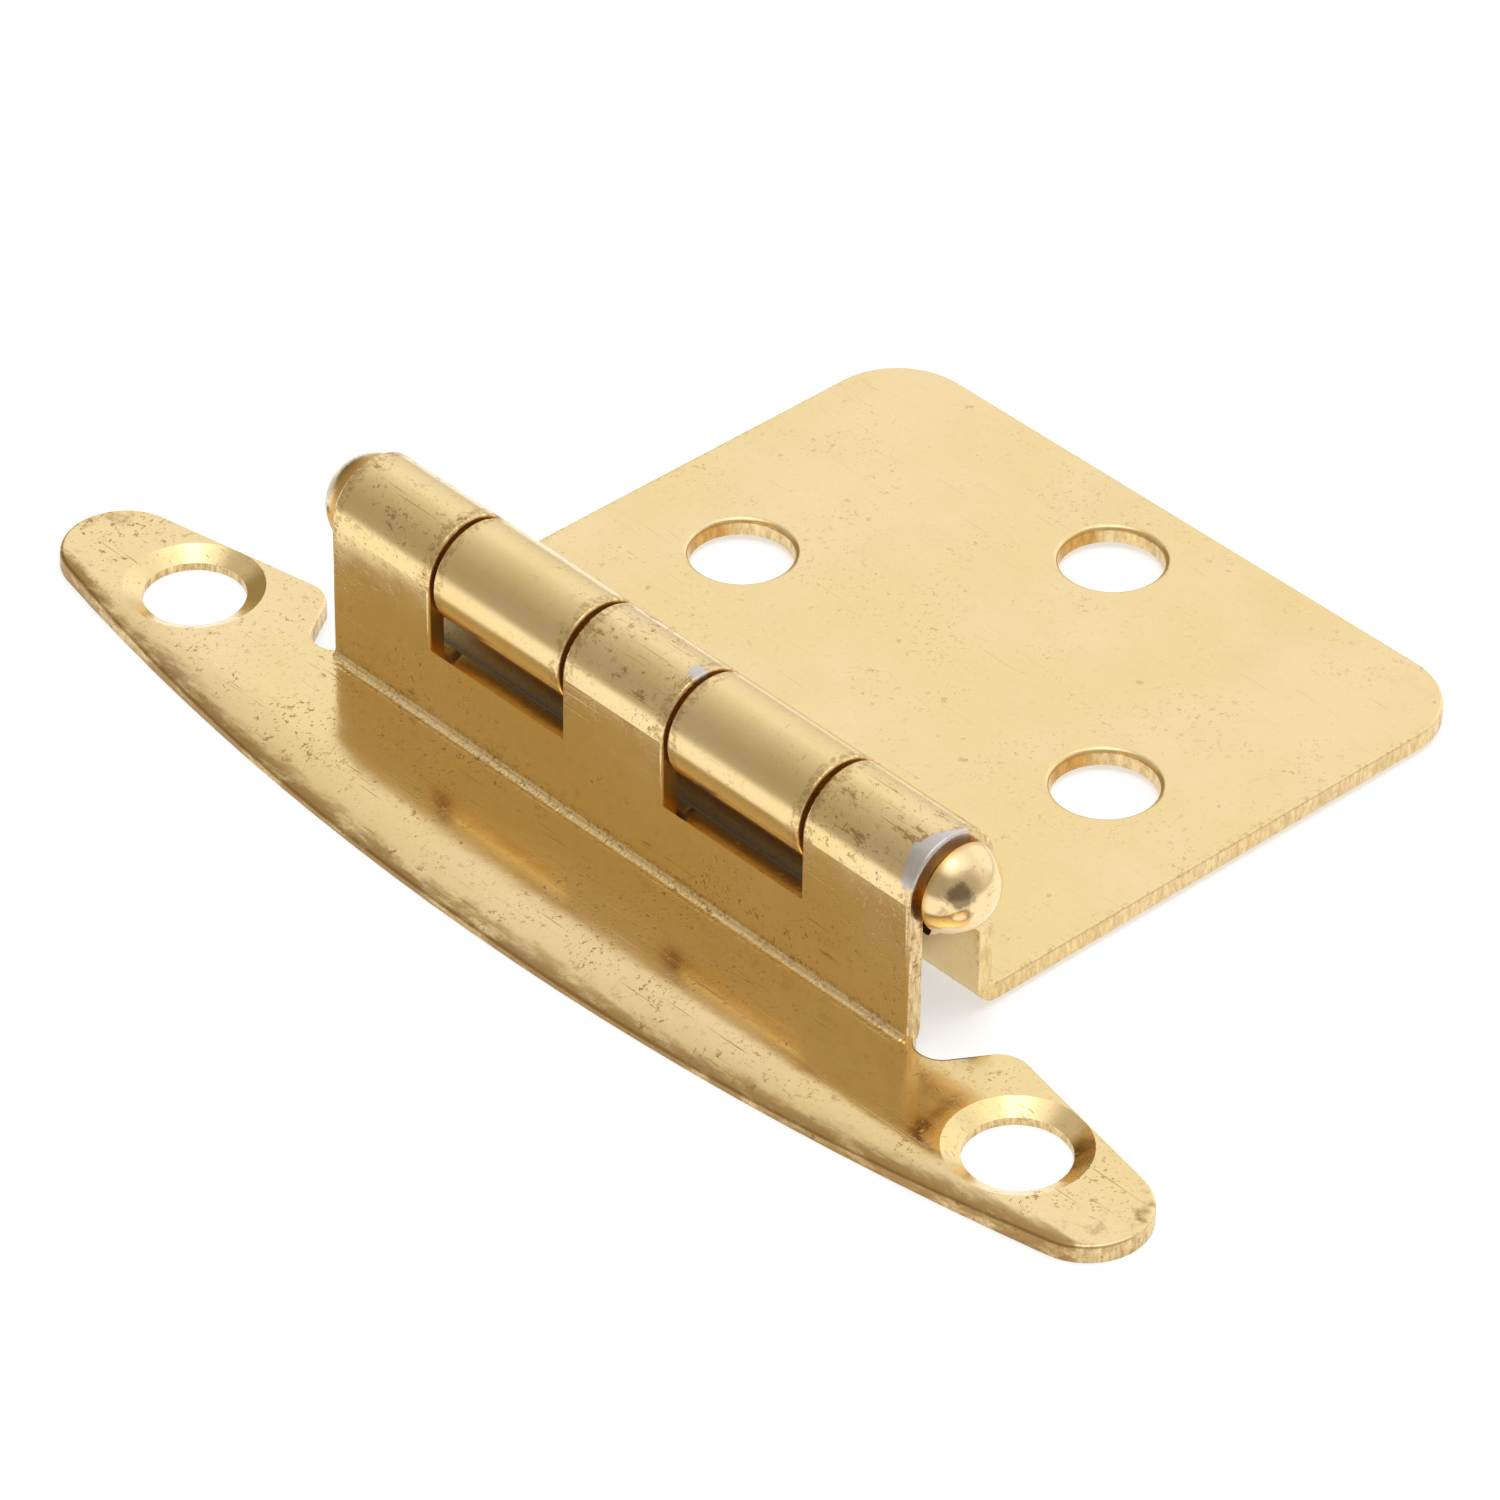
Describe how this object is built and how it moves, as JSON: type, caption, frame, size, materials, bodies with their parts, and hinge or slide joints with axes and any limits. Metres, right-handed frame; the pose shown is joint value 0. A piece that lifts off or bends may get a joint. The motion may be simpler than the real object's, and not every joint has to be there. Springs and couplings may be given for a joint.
{
  "type": "cabinet door hinge",
  "caption": "Face-mount cabinet door hinge in brass-plated steel: bow-shaped frame leaf with upright flange, plain door leaf and headed pin.",
  "frame": {"origin": "midway between the two screw holes of the frame leaf, on the back of the leaf where it lies on the cabinet's face", "axes": "+X along the pin, +Y from the frame leaf to the door leaf, +Z out of the cabinet's face; the hinge is closed, with both leaves parallel to the face"},
  "size_m": [0.07, 0.0444, 0.0108],
  "materials": {
    "brass_plate": "polished",
    "door_plate": "satin",
    "pin_plate": "polished"
  },
  "bodies": {
    "frame_leaf": {"frame_leaf": "brass_plate"},
    "door_leaf": {"door_leaf": "door_plate"},
    "hinge_pin": {"hinge_pin": "pin_plate"}
  },
  "joints": [
    {"name": "door_swing", "type": "hinge", "parent": "frame_leaf", "child": "door_leaf", "pos_m": [0, 0.00395, 0.0082], "axis": [1, 0, 0], "range_deg": [-25, 240]},
    {"name": "pin_spin", "type": "hinge", "parent": "frame_leaf", "child": "hinge_pin", "pos_m": [0, 0.00395, 0.0082], "axis": [1, 0, 0], "continuous": true}
  ]
}
